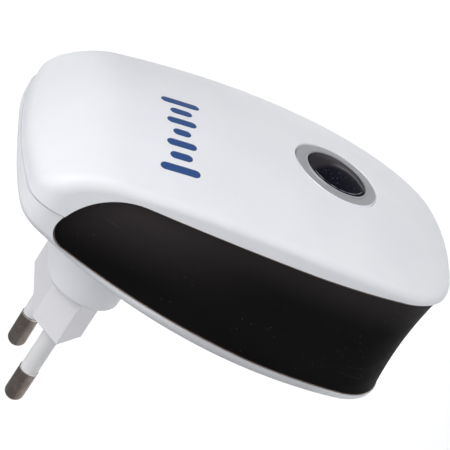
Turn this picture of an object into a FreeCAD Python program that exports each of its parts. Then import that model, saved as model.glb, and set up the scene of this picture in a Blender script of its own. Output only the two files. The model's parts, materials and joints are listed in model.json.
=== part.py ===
import FreeCAD, Part
import math
import os
import Sketcher

# Plug-in ultrasonic pest repeller. Millimetres, +Z up. The origin is the middle of the plug's engagement
# face: the pins point along +Y, the front face looks along -Y and X is the width.

doc = FreeCAD.newDocument("pest_repeller")
sheet = doc.addObject("Spreadsheet::Sheet", "Sizes")

SIZES = {
    # plan outline, seen along Y: a barrel of tangent arcs
    "half_width": 27.1, "widest_drop": 27.0, "side_up_radius": 400.0, "side_low_radius": 95.0,
    "top_level": 23.6, "top_radius": 95, "top_corner": 6.0,
    "bottom_drop": 60.1, "bottom_radius": 110.0, "bottom_corner": 14.0,
    "wall": 2.0, "seam_depth": 31.5, "seam_gap": 0.25,
    "blank_overlap": 6.0, "back_lift": 0.7, "back_inset": 0.3,
    # front face: three arcs in side view, turned about an axis behind the object
    "face_depth": 50.0, "face_apex_drop": 34.0, "face_up_radius": 211.0, "face_low_radius": 114.0,
    "face_nose_radius": 20.5, "face_nose_level": 9.0, "face_crown_radius": 90.0,
    "face_edge_round": 1.8, "face_top_round": 4.5,
    # rear face, made the same way
    "rear_depth": 17.1, "rear_apex_drop": 29.0, "rear_up_radius": 140.0, "rear_low_radius": 400.0,
    "rear_nose_radius": 8.0, "rear_nose_level": 19.0, "rear_crown_radius": 250.0, "rear_edge_round": 1.5,
    # region between the two covers that the waist band fills, in side view
    "rim_top_depth": 40.4, "rim_top_level": 2.7, "rim_low_depth": 45.2, "waist_drop": 70.0,
    "waist_nose_radius": 13.5, "waist_tip_radius": 4.0, "waist_rear_radius": 220.0,
    "waist_rear_depth": 20.5, "waist_rear_drop": 33.0,
    "band_inset": 0.3, "band_waist": 0.8, "band_inner": 4.6,
    # bezel ring and key
    "key_drop": 33.2, "ring_radius": 8.85, "ring_inner_radius": 6.4, "ring_flange_radius": 10.4,
    "key_radius": 6.15, "key_flange_radius": 7.6, "key_dome_radius": 17.4,
    "key_travel": 0.8,
    # plug
    "plug_flat": 18.7, "plug_width": 30.35, "plug_thick": 10.36, "plug_length": 21.0,
    "collar_flat": 17.0, "collar_radius": 7.6, "collar_rear": 10.3, "collar_root": 23.4,
    "pin_pitch": 18.6, "pin_lean": 1.55, "pin_radius": 2.0, "pin_length": 19.1,
    "plug_flange_flat": 19.4, "plug_flange_radius": 5.8, "plug_flange_front": 25.3,
    "sleeve_length": 11.2, "sleeve_radius": 1.83, "sleeve_root": 2.0,
    "pin_core_radius": 1.45, "pin_inside": 26.5, "tab_side": 4.2, "tab_length": 2.8, "tab_grip": 1.0,
    # board and what it carries
    "board_rear": 34.0, "board_thick": 1.6, "board_half_width": 19.5, "board_top": 9.0, "board_drop": 47.6,
    "board_corner": 3.0, "boss_radius": 3.0, "board_screw_x": 16.0, "board_screw_top": 5.2,
    "board_screw_drop": 43.6, "pilot_radius": 1.25, "screw_head_radius": 2.3, "screw_head_height": 1.4,
    "post_radius": 3.3, "post_joint": 30.0, "post_x": 16.2, "post_top": 13.2, "post_drop": 51.4,
    "cover_screw_seat": 26.0, "cover_screw_tip": 38.0,
    "switch_side": 6.0, "switch_height": 3.5, "stem_radius": 1.75, "stem_end": 41.5, "stem_root": 1.2,
    "led_radius": 1.5, "led_x": 4.9, "led_height": 7.0,
    "sounder_drop": 29.0, "sounder_radius": 13.0, "sounder_wall": 1.0, "sounder_depth": 8.0,
    "disc_radius": 11.8, "ceramic_radius": 8.5, "lead_radius": 0.9,
    "slot_flat": 15.0, "slot_radius": 0.8, "slot_pitch": 4.0,
}

for row, (alias, value) in enumerate(SIZES.items(), 1):
    sheet.set(f"A{row}", alias.replace("_", " "))
    sheet.set(f"B{row}", str(value))
    sheet.setAlias(f"B{row}", alias)
doc.recompute()


def size(*aliases):
    """Sum of the named cells."""
    return sum(float(sheet.get(alias)) for alias in aliases)


def cells(*aliases):
    """Expression for the sum of the named cells."""
    return " + ".join("Sizes." + alias for alias in aliases) or "0"


def new_body(label):
    body = doc.addObject("PartDesign::Body", label)
    body.Label = label
    return body


def new_sketch(body, name, role, level=None):
    """A sketch on one of the body's own origin planes, moved along the plane's normal by level."""
    sketch = body.newObject("Sketcher::SketchObject", name)
    support = next(f for f in body.Origin.OriginFeatures if f.Role == role)
    sketch.AttachmentSupport = [(support, "")]
    sketch.MapMode = "FlatFace"
    if level:
        sketch.setExpression("AttachmentOffset.Base.z", level)
    return sketch


def drive(sketch, name, expression, kind, *args):
    """Add a dimension to the sketch and bind it to an expression of the sheet."""
    index = sketch.addConstraint(Sketcher.Constraint(kind, *args))
    sketch.renameConstraint(index, name)
    sketch.setExpression("Constraints." + name, expression)


def tie(sketch, kind, *args):
    """Add a constraint that carries no dimension."""
    sketch.addConstraint(Sketcher.Constraint(kind, *args))


def drive_point(sketch, name, geo, pos, kind, value, expression):
    """Distance of a point from the sketch's origin, whichever side it lies on."""
    ends = (-1, 1, geo, pos) if value >= 0 else (geo, pos, -1, 1)
    drive(sketch, name, expression, kind, *ends, abs(value))


def arc(cx, cy, radius, start, end):
    circle = Part.Circle(FreeCAD.Vector(cx, cy, 0), FreeCAD.Vector(0, 0, 1), radius)
    return Part.ArcOfCircle(circle, start, end)


def line(x0, y0, x1, y1):
    return Part.LineSegment(FreeCAD.Vector(x0, y0, 0), FreeCAD.Vector(x1, y1, 0))


def blend_centre(ax, ay, a_radius, bx, by, b_radius, radius, rank=0):
    """Centre of the circle that touches circles A and B from inside, farthest along its axis rank."""
    ra, rb = a_radius - radius, b_radius - radius
    gap = math.hypot(bx - ax, by - ay)
    along = (ra * ra - rb * rb + gap * gap) / (2 * gap)
    across = math.sqrt(ra * ra - along * along)
    ux, uy = (bx - ax) / gap, (by - ay) / gap
    found = [(ax + along * ux - s * across * uy, ay + along * uy + s * across * ux) for s in (1, -1)]
    return max(found, key=lambda centre: centre[rank])


def outline(body, name, level, inset=(), lift=()):
    """Barrel outline on the XZ plane at a Y level, drawn in and raised at the top by the named cells."""
    sketch = new_sketch(body, name, "XZ_Plane", level)
    d = size(*inset)
    change = f"({cells(*inset)})"
    side = size("half_width") - d
    drop = size("widest_drop")
    up, low = size("side_up_radius") - d, size("side_low_radius") - d
    top, bottom = size("top_radius") - d, size("bottom_radius") - d
    top_y = size("top_level", *lift) - size("top_radius")
    bottom_y = size("bottom_radius") - size("bottom_drop")
    corner, heel = size("top_corner") - d, size("bottom_corner") - d
    px, py = blend_centre(side - up, -drop, up, 0, top_y, top, corner)
    qx, qy = blend_centre(side - low, -drop, low, 0, bottom_y, bottom, heel)
    a_up = math.atan2(py + drop, px - side + up)
    a_top = math.atan2(py - top_y, px)
    a_low = math.atan2(qy + drop, qx - side + low)
    a_bottom = math.atan2(qy - bottom_y, qx)
    full, half = 2 * math.pi, math.pi
    sketch.addGeometry([
        arc(side - low, -drop, low, a_low, 0),
        arc(side - up, -drop, up, 0, a_up),
        arc(px, py, corner, a_up, a_top),
        arc(0, top_y, top, a_top, half - a_top),
        arc(-px, py, corner, half - a_top, half - a_up),
        arc(up - side, -drop, up, half - a_up, half),
        arc(low - side, -drop, low, half, half - a_low),
        arc(-qx, qy, heel, half - a_low, half - a_bottom),
        arc(0, bottom_y, bottom, half - a_bottom, full + a_bottom),
        arc(qx, qy, heel, a_bottom, a_low),
    ], False)
    for i in range(10):
        sketch.addConstraint(Sketcher.Constraint("Tangent", i, 2, (i + 1) % 10, 1))
    for geo in (3, 8):
        sketch.addConstraint(Sketcher.Constraint("PointOnObject", geo, 3, -2))
    for first, second in ((1, 5), (0, 6), (2, 4), (9, 7)):
        sketch.addConstraint(Sketcher.Constraint("Equal", first, second))
    for centre, joint in ((1, 0), (5, 5)):
        sketch.addConstraint(Sketcher.Constraint("Horizontal", centre, 3, joint, 2))
    radii = {"side_low_radius": (0, low), "side_up_radius": (1, up), "top_corner": (2, corner),
             "top_radius": (3, top), "bottom_radius": (8, bottom), "bottom_corner": (9, heel)}
    for alias, (geo, value) in radii.items():
        drive(sketch, alias, f"Sizes.{alias} - {change}", "Radius", geo, value)
    for label, geo, sign in (("right", 0, 1), ("left", 5, -1)):
        drive_point(sketch, label, geo, 2, "DistanceX", sign * side, f"Sizes.half_width - {change}")
        drive_point(sketch, label + "_drop", geo, 2, "DistanceY", -drop, "Sizes.widest_drop")
    drive_point(sketch, "top_centre", 3, 3, "DistanceY", top_y,
                f"Sizes.top_radius - Sizes.top_level - ({cells(*lift)})")
    drive_point(sketch, "bottom_centre", 8, 3, "DistanceY", bottom_y,
                "Sizes.bottom_radius - Sizes.bottom_drop")
    return sketch


def crown_cut(body, name, face, sign, inset=()):
    """Groove that leaves a crowned face: side profile of three tangent arcs, turned about a far axis.

    face is the prefix of the face's cells, and sign is -1 for the front face and 1 for the rear face.
    """
    d = size(*inset)
    less = f"({cells(*inset)})"
    depth, apex = size(face + "_depth"), -size(face + "_apex_drop")
    up, low = size(face + "_up_radius"), size(face + "_low_radius")
    nose, nose_level = size(face + "_nose_radius"), size(face + "_nose_level")
    turn = math.asin((nose_level - apex) / up)
    apex_u = -depth - sign * d
    reach = 6.0
    far = -depth + sign * 12.0
    high, deep = size("top_level") + reach, -size("bottom_drop") - reach
    centre_u = -depth - sign * up
    nose_u = centre_u + sign * (up - nose) * math.cos(turn)
    nose_v = apex + (up - nose) * math.sin(turn)
    joint_v = apex + (up - d) * math.sin(turn)
    last = math.asin(min(0.999, (high - reach + 0.9 - d - nose_v) / (nose - d)))
    last_v = nose_v + (nose - d) * math.sin(last)
    first = math.asin((deep - apex) / (low - d))

    def swing(cu, cv, radius, start, end):
        """Arc between two angles measured from the outward direction towards +Z."""
        if sign > 0:
            return arc(cu, cv, radius, start, end)
        return arc(cu, cv, radius, math.pi - end, math.pi - start)

    begin, finish = (1, 2) if sign > 0 else (2, 1)
    sketch = new_sketch(body, name, "YZ_Plane")
    nose_end_u = nose_u + sign * (nose - d) * math.cos(last)
    low_end_u = -depth - sign * low + sign * (low - d) * math.cos(first)
    sketch.addGeometry([
        swing(nose_u, nose_v, nose - d, turn, last),
        swing(centre_u, apex, up - d, 0, turn),
        swing(-depth - sign * low, apex, low - d, first, 0),
        line(low_end_u, deep, far, deep),
        line(far, deep, far, high),
        line(far, high, nose_end_u, high),
        line(nose_end_u, high, nose_end_u, last_v),
    ], False)
    axis_u = -depth - sign * size(face + "_crown_radius")
    sketch.addGeometry([line(axis_u, deep, axis_u, high)], True)
    tie(sketch, "Tangent", 0, begin, 1, finish)
    tie(sketch, "Tangent", 1, begin, 2, finish)
    tie(sketch, "Coincident", 2, begin, 3, 1)
    for geo in (3, 4, 5):
        tie(sketch, "Coincident", geo, 2, geo + 1, 1)
    tie(sketch, "Coincident", 6, 2, 0, finish)
    tie(sketch, "Horizontal", 1, 3, 1, begin)
    for geo in (3, 5):
        tie(sketch, "Horizontal", geo)
    for geo in (4, 6, 7):
        tie(sketch, "Vertical", geo)
    drive(sketch, "nose", f"Sizes.{face}_nose_radius - {less}", "Radius", 0, nose - d)
    drive(sketch, "up", f"Sizes.{face}_up_radius - {less}", "Radius", 1, up - d)
    drive(sketch, "low", f"Sizes.{face}_low_radius - {less}", "Radius", 2, low - d)
    drive_point(sketch, "apex_depth", 1, begin, "DistanceX", apex_u,
                f"Sizes.{face}_depth {'-' if sign < 0 else '+'} {less}")
    drive_point(sketch, "apex_level", 1, begin, "DistanceY", apex, f"Sizes.{face}_apex_drop")
    level = (f"(Sizes.{face}_nose_level + Sizes.{face}_apex_drop) * (1 - {less} / Sizes.{face}_up_radius)"
             f" - Sizes.{face}_apex_drop")
    drive_point(sketch, "joint_level", 0, begin, "DistanceY", joint_v, level)
    drive_point(sketch, "nose_end", 0, finish, "DistanceY", last_v, f"{last_v}")
    drive_point(sketch, "low_end", 3, 1, "DistanceY", deep, f"Sizes.bottom_drop + {reach}")
    drive_point(sketch, "high_end", 5, 2, "DistanceY", high, f"Sizes.top_level + {reach}")
    drive_point(sketch, "far_side", 4, 1, "DistanceX", far, f"Sizes.{face}_depth - {sign * 12.0}")
    axis_cells = f"Sizes.{face}_crown_radius {'-' if sign < 0 else '+'} Sizes.{face}_depth"
    drive_point(sketch, "axis_place", 7, 1, "DistanceX", axis_u, axis_cells)
    groove = body.newObject("PartDesign::Groove", name + "_groove")
    groove.Profile = sketch
    groove.ReferenceAxis = (sketch, ["Axis0"])
    groove.Angle = 360.0
    return groove


def pad(body, sketch, length, reverse=False, midplane=False):
    feature = body.newObject("PartDesign::Pad", sketch.Name + "_pad")
    feature.Profile = sketch
    feature.Length = 1.0
    feature.setExpression("Length", length)
    feature.Reversed = reverse
    feature.Midplane = midplane
    return feature


def cover_blank(label, face, sign, inset=(), lift=()):
    """Outline prism from a little past the seam to beyond one face, cut back to that crowned face."""
    body = new_body(label)
    level = f"Sizes.seam_depth + {sign} * Sizes.blank_overlap"
    sketch = outline(body, label + "_outline", level, inset, lift)
    length = f"abs(Sizes.{face}_depth - Sizes.seam_depth) + Sizes.blank_overlap + 8"
    pad(body, sketch, length, reverse=sign > 0)
    doc.recompute()
    before = body.Shape.Volume
    crown_cut(body, label + "_crown", face, sign, tuple(a for a in inset if a == "wall"))
    doc.recompute()
    print(label, "volume", round(before), "->", round(body.Shape.Volume))
    return body


def crown_edges(shape):
    """Numbers of the edges between the side walls and the crowned face."""
    numbers = []
    for number, edge in enumerate(shape.Edges, 1):
        walls = []
        for face in shape.ancestorsOfType(edge, Part.Face):
            surface = face.Surface
            flat = isinstance(surface, Part.Plane)
            walls.append(flat or (isinstance(surface, Part.Cylinder) and abs(surface.Axis.y) > 0.99))
        if sorted(walls) == [False, True]:
            wall = [f for f in shape.ancestorsOfType(edge, Part.Face) if isinstance(f.Surface, Part.Plane)]
            if not wall:
                numbers.append(number)
    return numbers


def round_crown(body, label, alias, top_alias=None):
    """The blank with the edge of its crowned face rounded, more so at the top if a second cell is named."""
    result = doc.addObject("Part::Fillet", label)
    result.Label = label
    result.Base = body
    below, above = size(alias), size(top_alias or alias)
    edges = []
    for number in crown_edges(body.Shape):
        edge = body.Shape.Edges[number - 1]
        ends = (edge.valueAt(edge.FirstParameter), edge.valueAt(edge.LastParameter))
        edges.append((number, *(above if end.z > 0 else below for end in ends)))
    result.Edges = edges
    doc.recompute()
    return result


def waist_region(label):
    """Block between the covers: side profile with a rounded nose near the top, through the whole width."""
    body = new_body(label)
    sketch = new_sketch(body, label + "_profile", "YZ_Plane")
    front_u, front_v = -size("rim_top_depth"), size("rim_top_level")
    low_u, low_v = -size("rim_low_depth"), -size("waist_drop")
    lean = math.atan2(front_u - low_u, front_v - low_v)
    nose, tip, rear = size("waist_nose_radius"), size("waist_tip_radius"), size("waist_rear_radius")
    nose_u, nose_v = front_u + nose * math.cos(lean), front_v - nose * math.sin(lean)
    rear_u, rear_v = -size("waist_rear_depth") - rear, -size("waist_rear_drop")
    tip_u, tip_v = blend_centre(nose_u, nose_v, nose, rear_u, rear_v, rear, tip, 1)
    a_nose = math.atan2(tip_v - nose_v, tip_u - nose_u)
    a_rear = math.atan2(tip_v - rear_v, tip_u - rear_u)
    sketch.addGeometry([
        line(low_u, low_v, front_u, front_v),
        arc(nose_u, nose_v, nose, a_nose, math.pi - lean),
        arc(tip_u, tip_v, tip, a_rear, a_nose),
        arc(rear_u, rear_v, rear, 0, a_rear),
        line(-size("waist_rear_depth"), rear_v, -size("waist_rear_depth"), low_v),
        line(-size("waist_rear_depth"), low_v, low_u, low_v),
    ], False)
    tie(sketch, "Tangent", 0, 2, 1, 2)
    tie(sketch, "Tangent", 1, 1, 2, 2)
    tie(sketch, "Tangent", 2, 1, 3, 2)
    tie(sketch, "Tangent", 3, 1, 4, 1)
    tie(sketch, "Coincident", 4, 2, 5, 1)
    tie(sketch, "Coincident", 5, 2, 0, 1)
    tie(sketch, "Vertical", 4)
    tie(sketch, "Horizontal", 5)
    for alias, geo, value in (("waist_nose_radius", 1, nose), ("waist_tip_radius", 2, tip),
                              ("waist_rear_radius", 3, rear)):
        drive(sketch, alias, "Sizes." + alias, "Radius", geo, value)
    drive_point(sketch, "rim_low", 0, 1, "DistanceX", low_u, "Sizes.rim_low_depth")
    drive_point(sketch, "low_level", 0, 1, "DistanceY", low_v, "Sizes.waist_drop")
    drive_point(sketch, "rim_top", 0, 2, "DistanceX", front_u, "Sizes.rim_top_depth")
    drive_point(sketch, "rim_level", 0, 2, "DistanceY", front_v, "Sizes.rim_top_level")
    drive_point(sketch, "rear_rim", 4, 1, "DistanceX", -size("waist_rear_depth"), "Sizes.waist_rear_depth")
    drive_point(sketch, "rear_level", 4, 1, "DistanceY", rear_v, "Sizes.waist_rear_drop")
    pad(body, sketch, "Sizes.half_width * 2 + 10", midplane=True)
    doc.recompute()
    return body


def band_blank(label):
    """Ring with a concave outside, lofted through outlines that are drawn in towards its middle."""
    body = new_body(label)
    levels = ((47.0, ("band_inset",)), (40.0, ("band_inset", "band_waist")),
              (33.0, ("band_inset", "band_waist", "band_inset")), (26.0, ("band_inset", "band_waist")),
              (19.0, ("band_inset",)))
    rings = [outline(body, f"{label}_{int(level)}", str(level), inset) for level, inset in levels]
    loft = body.newObject("PartDesign::AdditiveLoft", label + "_loft")
    loft.Profile = rings[0]
    loft.Sections = rings[1:]
    doc.recompute()
    inner = outline(body, label + "_inner", "48.0", ("band_inner",))
    pocket = body.newObject("PartDesign::Pocket", label + "_pocket")
    pocket.Profile = inner
    pocket.Length = 40.0
    doc.recompute()
    print(label, "loft", round(loft.Shape.Volume), "ring", round(pocket.Shape.Volume))
    return body


def boolean(kind, label, base, *tools):
    """A Part boolean: Cut, MultiFuse or Common."""
    if kind == "Cut" and len(tools) > 1:
        joined = boolean("MultiFuse", label + "_tools", *tools)
        tools = (joined,)
    result = doc.addObject("Part::" + kind, label)
    if kind in ("MultiFuse", "MultiCommon"):
        result.Shapes = [base, *tools]
    else:
        result.Base, result.Tool = base, tools[0]
    result.Label = label
    return result


def value(expression):
    """Bind-ready text for a plain number or an expression of the sheet."""
    return expression if isinstance(expression, str) else repr(float(expression))


def cylinder(label, radius, length, at, axis=(0, 1, 0)):
    """Part cylinder whose radius, height and place are expressions; at is the centre of its first end."""
    solid = doc.addObject("Part::Cylinder", label)
    solid.Label = label
    solid.Placement.Rotation = FreeCAD.Rotation(FreeCAD.Vector(0, 0, 1), FreeCAD.Vector(*axis))
    solid.setExpression("Radius", value(radius))
    solid.setExpression("Height", value(length))
    place(solid, at)
    return solid


def place(solid, at):
    for letter, expression in zip("xyz", at):
        solid.setExpression("Placement.Base." + letter, value(expression))


def box(label, width, depth, height, at):
    """Part box centred on X and Z, whose front face lies at the Y of the given point."""
    solid = doc.addObject("Part::Box", label)
    solid.Label = label
    solid.setExpression("Length", value(width))
    solid.setExpression("Width", value(depth))
    solid.setExpression("Height", value(height))
    x, y, z = (value(v) for v in at)
    place(solid, (f"{x} - ({value(width)}) / 2", y, f"{z} - ({value(height)}) / 2"))
    return solid


def upright(edge, middle):
    """Is this a straight edge along Y?"""
    return abs(edge.tangentAt(0).y) > 0.9


def rounded(base, label, radius, picks):
    """Fillet of the edges of a primitive that a test of their middle point picks."""
    doc.recompute()
    result = doc.addObject("Part::Fillet", label)
    result.Label = label
    result.Base = base
    chosen = []
    for number, edge in enumerate(base.Shape.Edges, 1):
        middle = edge.valueAt((edge.FirstParameter + edge.LastParameter) / 2)
        if picks(edge, middle):
            chosen.append((number, radius, radius))
    result.Edges = chosen
    return result


def turned(label, points, level, arcs=None):
    """Solid turned about a line along Y: points are (y, radius) expressions pairs, from the axis outwards.

    arcs maps the number of a segment to the expression of its radius, crowned away from the solid.
    """
    arcs = arcs or {}
    body = new_body(label)
    sketch = new_sketch(body, label + "_profile", "XY_Plane", level)
    doc.recompute()
    numbers = [(evaluate(y), evaluate(r)) for y, r in points]
    count = len(points)
    for i in range(count):
        (y0, r0), (y1, r1) = numbers[i], numbers[(i + 1) % count]
        if i in arcs:
            radius = evaluate(arcs[i])
            chord = math.hypot(y1 - y0, r1 - r0)
            rise = math.sqrt(radius ** 2 - chord ** 2 / 4)
            mx, my = (r0 + r1) / 2, (y0 + y1) / 2
            nx, ny = (y1 - y0) / chord, -(r1 - r0) / chord
            cx, cy = mx - nx * rise, my - ny * rise
            start, end = math.atan2(y0 - cy, r0 - cx), math.atan2(y1 - cy, r1 - cx)
            if (end - start) % (2 * math.pi) > math.pi:
                start, end = end, start
            sketch.addGeometry(arc(cx, cy, radius, start, end), False)
        else:
            sketch.addGeometry(line(r0, y0, r1, y1), False)
    ends = []
    for i in range(count):
        first = sketch.Geometry[i].StartPoint
        here = FreeCAD.Vector(numbers[i][1], numbers[i][0], 0)
        ends.append((1, 2) if first.distanceToPoint(here) < 1e-6 else (2, 1))
    for i in range(count):
        following = (i + 1) % count
        add = Sketcher.Constraint("Coincident", i, ends[i][1], following, ends[following][0])
        sketch.addConstraint(add)
    for i, (y, r) in enumerate(points):
        number_y, number_r = numbers[i]
        if abs(number_r) < 1e-9:
            sketch.addConstraint(Sketcher.Constraint("PointOnObject", i, ends[i][0], -2))
        else:
            drive_point(sketch, f"radius_{i}", i, ends[i][0], "DistanceX", number_r, value(r))
        text = value(y)
        drive_point(sketch, f"level_{i}", i, ends[i][0], "DistanceY", number_y, f"abs({text})")
    for i, radius in arcs.items():
        drive(sketch, f"bow_{i}", value(radius), "Radius", i, evaluate(radius))
    turn = body.newObject("PartDesign::Revolution", label + "_turn")
    turn.Profile = sketch
    turn.ReferenceAxis = (sketch, ["V_Axis"])
    turn.Angle = 360.0
    doc.recompute()
    return body


def evaluate(expression):
    """Number that an expression of the sheet stands for."""
    if not isinstance(expression, str):
        return float(expression)
    probe = doc.getObject("Probe") or doc.addObject("App::FeaturePython", "Probe")
    if "Result" not in probe.PropertiesList:
        probe.addProperty("App::PropertyFloat", "Result")
    probe.setExpression("Result", expression)
    probe.recompute()
    return float(probe.Result)


FACE, KEY_Z = "-Sizes.face_depth", "-Sizes.key_drop"
BOARD_REAR = "-Sizes.board_rear"
BOARD_FRONT = "-Sizes.board_rear - Sizes.board_thick"
BOARD_SCREWS = [(side, level) for level in ("Sizes.board_screw_top", "-Sizes.board_screw_drop")
                for side in (-1, 1)]
COVER_SCREWS = [("-Sizes.post_x", "Sizes.post_top"), ("Sizes.post_x", "Sizes.post_top"),
                ("0", "-Sizes.post_drop")]


def stadium(body, name, level, flat, radius, rise=None):
    """Slot-shaped outline, long side along X, centred on X and lifted along Z by rise."""
    sketch = new_sketch(body, name, "XZ_Plane", level)
    if rise:
        sketch.setExpression("AttachmentOffset.Base.y", rise)
    half, r = size(flat) / 2, size(radius)
    quarter = math.pi / 2
    sketch.addGeometry([
        arc(half, 0, r, -quarter, quarter), line(half, r, -half, r),
        arc(-half, 0, r, quarter, 3 * quarter), line(-half, -r, half, -r),
    ], False)
    for i in range(4):
        sketch.addConstraint(Sketcher.Constraint("Tangent", i, 2, (i + 1) % 4, 1))
    sketch.addConstraint(Sketcher.Constraint("PointOnObject", 0, 3, -1))
    sketch.addConstraint(Sketcher.Constraint("PointOnObject", 2, 3, -1))
    sketch.addConstraint(Sketcher.Constraint("Equal", 0, 2))
    drive(sketch, "radius", "Sizes." + radius, "Radius", 0, r)
    drive_point(sketch, "right", 0, 3, "DistanceX", half, f"Sizes.{flat} / 2")
    drive_point(sketch, "left", 2, 3, "DistanceX", -half, f"Sizes.{flat} / 2")
    return sketch


def hexagon(body, name):
    """Outline of the plug block: flat sides above and below, pointed ends, on the engagement face."""
    sketch = new_sketch(body, name, "XZ_Plane")
    flat, wide, thick = size("plug_flat") / 2, size("plug_width") / 2, size("plug_thick") / 2
    corners = [(wide, 0), (flat, thick), (-flat, thick), (-wide, 0), (-flat, -thick), (flat, -thick)]
    words = {wide: "Sizes.plug_width / 2", flat: "Sizes.plug_flat / 2", thick: "Sizes.plug_thick / 2"}
    for i, (x, z) in enumerate(corners):
        sketch.addGeometry(line(x, z, *corners[(i + 1) % 6]), False)
    for i, (x, z) in enumerate(corners):
        sketch.addConstraint(Sketcher.Constraint("Coincident", i, 2, (i + 1) % 6, 1))
        drive_point(sketch, f"x_{i}", i, 1, "DistanceX", x, words[abs(x)])
        if z:
            drive_point(sketch, f"z_{i}", i, 1, "DistanceY", z, words[abs(z)])
        else:
            sketch.addConstraint(Sketcher.Constraint("PointOnObject", i, 1, -1))
    return sketch


def pins_at(label, radius, start, end):
    """Two leaning rods: they start and end at distances along the pins' own axes."""
    rods = []
    for name, side in (("left", -1), ("right", 1)):
        rod = doc.addObject("Part::Cylinder", f"{label}_{name}")
        rod.Label = f"{label}_{name}"
        rod.setExpression("Radius", value(radius))
        rod.setExpression("Height", f"({value(end)}) - ({value(start)})")
        lean = size("pin_lean") * side
        along_y = FreeCAD.Rotation(FreeCAD.Vector(1, 0, 0), -90)
        rod.Placement.Rotation = FreeCAD.Rotation(FreeCAD.Vector(0, 0, 1), lean).multiply(along_y)
        place(rod, (f"{side} * (Sizes.pin_pitch / 2 - ({value(start)}) * sin(Sizes.pin_lean * 1 deg))",
                    f"({value(start)}) * cos(Sizes.pin_lean * 1 deg)", "0"))
        rods.append(rod)
    return rods


# --- covers -------------------------------------------------------------------------------------------
waist = waist_region("waist_region")
front_blank = cover_blank("front_blank", "face", -1)
front_rounded = round_crown(front_blank, "front_rounded", "face_edge_round", "face_top_round")
front_core = cover_blank("front_core", "face", -1, ("wall",))
back_blank = cover_blank("back_blank", "rear", 1, ("back_inset",), ("back_lift",))
back_rounded = round_crown(back_blank, "back_rounded", "rear_edge_round")
back_core = cover_blank("back_core", "rear", 1, ("back_inset", "wall"), ("back_lift",))

behind_seam = box("behind_seam", "80", "60", "160", ("0", "-Sizes.seam_depth", "-18"))
before_seam = box("before_seam", "80", "60", "160", ("0", "-Sizes.seam_depth - 60 + Sizes.seam_gap", "-18"))

front_bosses = [cylinder(f"front_boss_{i}", "Sizes.boss_radius", "14",
                         (f"{side} * Sizes.board_screw_x", BOARD_FRONT, level), (0, -1, 0))
                for i, (side, level) in enumerate(BOARD_SCREWS)]
front_posts = [cylinder(f"front_post_{i}", "Sizes.post_radius", "20", (x, "-Sizes.post_joint", z),
                        (0, -1, 0))
               for i, (x, z) in enumerate(COVER_SCREWS)]
front_pilots = [cylinder(f"front_pilot_{i}", "Sizes.pilot_radius", "7.5",
                         (f"{side} * Sizes.board_screw_x", BOARD_FRONT, level), (0, -1, 0))
                for i, (side, level) in enumerate(BOARD_SCREWS)]
front_pilots += [cylinder(f"post_pilot_{i}", "Sizes.pilot_radius", "9", (x, "-Sizes.post_joint", z),
                          (0, -1, 0))
                 for i, (x, z) in enumerate(COVER_SCREWS)]
front_hollow = boolean("Cut", "front_hollow", front_rounded, front_core)
front_wall = boolean("Cut", "front_wall", front_hollow, waist, behind_seam)
front_columns = boolean("MultiFuse", "front_columns", *front_bosses, *front_posts)
front_fitted = boolean("Common", "front_fitted", front_columns, front_rounded)
front_joined = boolean("MultiFuse", "front_joined", front_wall, front_fitted)
ring_seat = turned("ring_seat", [
    (FACE + " - 1", "0"), (FACE + " - 1", "Sizes.ring_radius + 1.2"),
    (FACE + " + 0.75", "Sizes.ring_radius + 0.05"),
    (FACE + " + 2.65", "Sizes.ring_radius + 0.05"), (FACE + " + 2.65", "Sizes.ring_flange_radius + 0.1"),
    (FACE + " + 12", "Sizes.ring_flange_radius + 0.1"), (FACE + " + 12", "0")], KEY_Z)
front_cover = boolean("Cut", "front_cover", front_joined, ring_seat, *front_pilots)

collar_blank = new_body("collar_blank")
collar_sketch = stadium(collar_blank, "collar_outline", "Sizes.collar_rear", "collar_flat", "collar_radius")
pad(collar_blank, collar_sketch, "Sizes.collar_root - Sizes.collar_rear")
doc.recompute()
collar = rounded(collar_blank, "collar", 1.0, lambda edge, middle: middle.y > -size("collar_rear") - 0.01)
back_hollow = boolean("Cut", "back_hollow", back_rounded, back_core)
back_wall = boolean("Cut", "back_wall", back_hollow, waist, before_seam)
back_posts = [cylinder(f"back_post_{i}", "Sizes.post_radius", "Sizes.post_joint - 14",
                       (x, "-Sizes.post_joint", z)) for i, (x, z) in enumerate(COVER_SCREWS)]
back_columns = boolean("MultiFuse", "back_columns", *back_posts)
back_fitted = boolean("Common", "back_fitted", back_columns, back_rounded)
back_joined = boolean("MultiFuse", "back_joined", back_wall, back_fitted, collar)
plug_hole = new_body("plug_hole")
pad(plug_hole, hexagon(plug_hole, "plug_hole_outline"), "40")
back_holes = [cylinder(f"screw_way_{i}", "Sizes.pilot_radius + 0.15", "30", (x, "-Sizes.post_joint - 1", z))
              for i, (x, z) in enumerate(COVER_SCREWS)]
back_holes += [cylinder(f"counterbore_{i}", "Sizes.screw_head_radius + 0.3", "20",
                        (x, "-Sizes.cover_screw_seat", z)) for i, (x, z) in enumerate(COVER_SCREWS)]
for i in range(-2, 3):
    slot = new_body(f"sound_slot_{i + 2}")
    outline_sketch = stadium(slot, f"slot_outline_{i + 2}", "12", "slot_flat", "slot_radius",
                             f"-Sizes.sounder_drop + {i} * Sizes.slot_pitch")
    pad(slot, outline_sketch, "13")
    back_holes.append(slot)
back_cover = boolean("Cut", "back_cover", back_joined, plug_hole, *back_holes)

band = boolean("Common", "side_band", band_blank("band_blank"), waist)

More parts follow.
